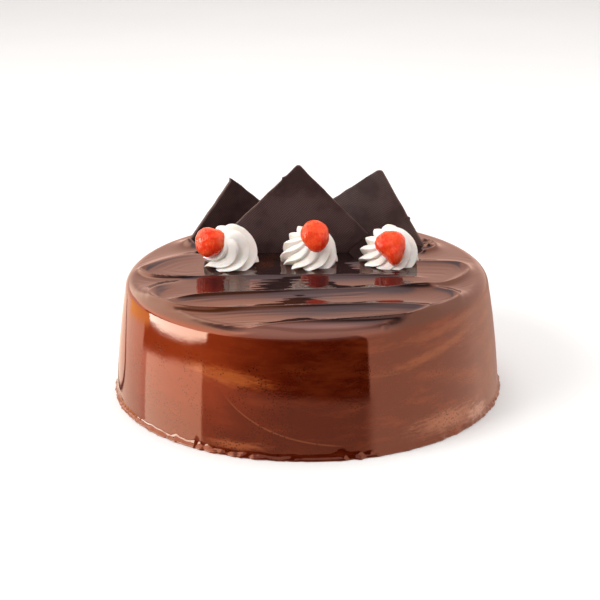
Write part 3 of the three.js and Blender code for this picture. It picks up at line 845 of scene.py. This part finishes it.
def cherry_material():
    material, tree, shader, where = new_material("cherry")
    cloud = noise(tree, where, 0.2, 4, 0.6)
    speck = noise(tree, where, 0.9, 3, 0.6, (1, 1, 0.45))
    colour = blend(tree, ramp(tree, cloud, 0.35, 0.68), (0.78, 0.036, 0.01, 1),
                   (0.88, 0.095, 0.024, 1))
    colour = blend(tree, ramp(tree, speck, 0.48, 0.72, 0, 0.4), colour, (0.93, 0.2, 0.07, 1))
    # Painted light: the rim of each piece, where it turns away from the view, is made lighter.
    edge = add(tree, "ShaderNodeLayerWeight", {"Blend": 0.35}).outputs["Facing"]
    colour = blend(tree, ramp(tree, edge, 0.35, 1.0, 0, 0.5), colour, (0.95, 0.26, 0.11, 1))
    tree.links.new(colour, shader.inputs["Base Color"])
    tree.links.new(ramp(tree, speck, 0.3, 0.7, 0.08, 0.2), shader.inputs["Roughness"])
    tree.links.new(bump(tree, speck, 0.3, 0.0004), shader.inputs["Normal"])
    shader.inputs["Subsurface Weight"].default_value = 0.7
    shader.inputs["Subsurface Radius"].default_value = (1.0, 0.25, 0.1)
    shader.inputs["Subsurface Scale"].default_value = 0.004
    shader.inputs["IOR"].default_value = 1.45
    return material


# ---------------------------------------------------------------------------
# The part


def dress(name, mesh, material, node):
    points, faces = mesh
    piece = mesh_piece(name, points, faces, material)
    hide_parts(node)
    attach(piece, "root")


GLAZE, CREAM, CANDIED = glaze_material(), cream_material(), cherry_material()

dress("glazed_cake", cake_mesh(), GLAZE, "cake")
for index, (where_at, plate) in enumerate(SQUARES.items()):
    scraped = chocolate_material(f"dark_chocolate_{where_at}", square_axes(plate)[0])
    dress(f"chocolate_plate_{where_at}", square_mesh(plate, SQUARE_SEED + 10 * index), scraped,
          f"chocolate_square_{where_at}")
for index, (where_at, swirl) in enumerate(ROSETTES.items()):
    dress(f"piped_rosette_{where_at}", rosette_mesh(swirl, ROSETTE_SEED + index), CREAM,
          f"cream_rosette_{where_at}")
    dress(f"candied_cherry_{where_at}", cherry_mesh(CHERRIES[where_at]), CANDIED,
          f"cherry_{where_at}")

# ---------------------------------------------------------------------------
# Camera

CAMERA = {"elevation": 20.4, "distance": 800.0, "aim_height": 33.0, "lens": 93.31,
          "pitch_up": 0.739, "yaw_left": 0.274, "roll": -0.5}


def make_camera():
    data = bpy.data.cameras.new("camera")
    data.sensor_width = 36
    data.lens = CAMERA["lens"]
    data.clip_start = 0.05
    data.clip_end = 50
    camera = bpy.data.objects.new("camera", data)
    bpy.context.scene.collection.objects.link(camera)
    rise = radians(CAMERA["elevation"])
    back, lift = CAMERA["distance"] * cos(rise), CAMERA["distance"] * sin(rise)
    place = Vector((0, -back, CAMERA["aim_height"] + lift)) * MM
    look = Matrix.Rotation(pi / 2 - rise, 4, "X")
    turned = Matrix.Rotation(radians(CAMERA["yaw_left"]), 4, "Z") @ look
    turned = turned @ Matrix.Rotation(radians(CAMERA["pitch_up"]), 4, "X")
    turned = turned @ Matrix.Rotation(radians(CAMERA["roll"]), 4, "Z")
    camera.matrix_world = Matrix.Translation(place) @ turned
    bpy.context.scene.camera = camera


# ---------------------------------------------------------------------------
# Studio

# What shiny surfaces see, as cards of light by direction: degrees of turn from
# the front, more to the object's right, then degrees of elevation. Each has
# its two sides, its lower edge at both sides, its upper edge at both sides,
# how soft its sides and edges are, and its colour. Later cards cover earlier ones.
BACKDROP = (1.5, 0.93, 0.75, 1)
CARDS = [
    ((-190, -165), (13.5, 51), (95, 95), (4.0, 6.5), (0.64, 0.6, 0.68, 1)),
    ((165, 190), (51, 13.5), (95, 95), (4.0, 6.5), (0.64, 0.6, 0.68, 1)),
    ((-190, 190), (60, 60), (95, 95), (0.1, 12.0), (0.01, 0.01, 0.01, 1)),
    ((-90, 90), (30, 30), (82, 82), (20.0, 6.0), (0.8, 0.66, 0.66, 1)),
    ((-190, -116), (-95, -95), (-4, -4), (2.0, 2.0), (1.5, 1.12, 0.88, 1)),
    ((36, 100), (-95, -95), (55, 55), (0.7, 8.0), (1.6, 1.1, 0.88, 1)),
    ((80, 130), (-95, -95), (55, 55), (10.0, 8.0), (1.6, 1.1, 0.88, 1)),
    ((130, 190), (-95, -95), (-4, -4), (14.0, 2.0), (1.2, 0.75, 0.55, 1)),
    ((150, 190), (-95, -95), (-6, -6), (16.0, 2.0), (0.6, 0.36, 0.3, 1)),
    ((-80, 36), (-95, -95), (-7.75, -9.8), (5.0, 0.6), (0.62, 0.4, 0.31, 1)),
    ((-111, -64), (-95, -95), (-12.9, -8.1), (0.5, 0.3), (2.75, 2.3, 1.85, 1)),
    ((-116, -66), (-13.2, -8.1), (26, 26), (0.5, 0.3), (0.01, 0.01, 0.01, 1)),
    ((-66, 36), (-8, -10.4), (20, 44), (0.8, 0.7), (0.01, 0.01, 0.01, 1)),
    ((-163, -50), (36, 36), (54, 54), (9.0, 5.0), (3.0, 2.3, 1.85, 1)),
    ((-150, -50), (2.6, 18), (48, 48), (9.0, 1.0), (3.2, 2.4, 1.9, 1)),
    ((-111, -97), (-9.8, -8.7), (3, 7.3), (0.8, 0.2), (7.2, 8.7, 8.3, 1)),
    ((-99, -73), (-8.9, -6.1), (6.5, 13), (0.8, 0.2), (7.2, 8.7, 8.3, 1)),
    ((-75, -62), (-6.3, -4.4), (12, 15), (0.8, 0.2), (7.2, 8.7, 8.3, 1)),
    ((-140, -111), (-14.6, -10.5), (-5, 3), (0.8, 0.4), (1.95, 1.0, 0.3, 1)),
]
# A thin dark ellipse that shows as a curve far round the left of the wall.
ARC = {"middle": (-160, -18.4), "half": (18.5, 3.2), "band": (0.9, 1.05), "soft": 0.04,
       "shade": (0.05, 0.05, 0.05, 1)}


# (name, place in metres, size in metres, watts)
LIGHTS = [
    ("key", (-0.9, -0.45, 0.75), (0.7, 0.6), 11),
    ("top", (0.1, 0.3, 1.4), (1.2, 1.0), 12),
]
LIGHTS_AIM = 0.04  # metres above the table


def card_share(tree, turn, rise, sides, lower, upper, soft):
    """1 on a card of light and 0 beside it."""

    def above(edge):
        slope = (edge[1] - edge[0]) / (sides[1] - sides[0])
        line = maths(tree, "MULTIPLY_ADD", turn, slope, edge[0] - slope * sides[0])
        over = maths(tree, "SUBTRACT", rise, line)
        return ramp(tree, over, -soft[1], soft[1])

    across = window(tree, turn, *sides, soft[0])
    return maths(tree, "MULTIPLY", across, maths(tree, "SUBTRACT", above(lower), above(upper)))


def make_world():
    world = bpy.data.worlds.new("studio")
    bpy.context.scene.world = world
    world.use_nodes = True
    tree = world.node_tree
    tree.nodes.clear()
    direction = add(tree, "ShaderNodeTexCoord").outputs["Generated"]
    split = add(tree, "ShaderNodeSeparateXYZ", {0: direction})
    x, y, z = split.outputs
    turn = maths(tree, "ARCTAN2", x, maths(tree, "MULTIPLY", y, -1.0))
    turn = maths(tree, "DEGREES", turn)
    rise = maths(tree, "DEGREES", maths(tree, "ARCSINE", z))
    colour = add(tree, "ShaderNodeRGB").outputs[0]
    colour.default_value = BACKDROP
    for sides, lower, upper, soft, shade in CARDS:
        share = card_share(tree, turn, rise, sides, lower, upper, soft)
        colour = blend(tree, share, colour, shade)
    wide = maths(tree, "DIVIDE", maths(tree, "SUBTRACT", turn, ARC["middle"][0]), ARC["half"][0])
    tall = maths(tree, "DIVIDE", maths(tree, "SUBTRACT", rise, ARC["middle"][1]), ARC["half"][1])
    band = window(tree, length_of(tree, wide, tall), *ARC["band"], ARC["soft"])
    colour = blend(tree, band, colour, ARC["shade"])
    seen = add(tree, "ShaderNodeBackground", {"Color": colour, "Strength": 1.0})
    plain = add(tree, "ShaderNodeBackground", {"Color": grey(1.0), "Strength": 0.6})
    white = add(tree, "ShaderNodeBackground", {"Color": grey(1.0), "Strength": 1.0})
    rays = add(tree, "ShaderNodeLightPath")
    lit = add(tree, "ShaderNodeMixShader",
              {0: rays.outputs["Is Camera Ray"], 1: plain.outputs[0], 2: white.outputs[0]})
    chosen = add(tree, "ShaderNodeMixShader",
                 {0: rays.outputs["Is Glossy Ray"], 1: lit.outputs[0], 2: seen.outputs[0]})
    add(tree, "ShaderNodeOutputWorld", {0: chosen.outputs[0]})


def make_floor():
    material, tree, shader, where = new_material("floor")
    cloud = noise(tree, where, 0.004, 2)
    colour = blend(tree, ramp(tree, cloud, 0.3, 0.7), (0.9, 0.885, 0.87, 1),
                   (0.91, 0.9, 0.885, 1))
    tree.links.new(colour, shader.inputs["Base Color"])
    shader.inputs["Roughness"].default_value = 0.9
    reach, low = 12000, -0.05
    corners = [(-reach, -reach, low), (reach, -reach, low), (reach, reach, low),
               (-reach, reach, low)]
    floor = mesh_piece("floor", corners, [(0, 1, 2, 3)], material)
    floor.visible_glossy = False


def make_light(name, place, size, power):
    data = bpy.data.lights.new(name, "AREA")
    data.shape = "RECTANGLE"
    data.size, data.size_y = size
    data.energy = power
    light = bpy.data.objects.new(name, data)
    bpy.context.scene.collection.objects.link(light)
    light.location = place
    aim = Vector((0, 0, LIGHTS_AIM)) - Vector(place)
    light.rotation_euler = aim.to_track_quat("-Z", "Y").to_euler()
    light.visible_glossy = False
    light.visible_camera = False


make_camera()
make_world()
make_floor()
for light in LIGHTS:
    make_light(*light)
bpy.context.scene.view_settings.view_transform = "Standard"
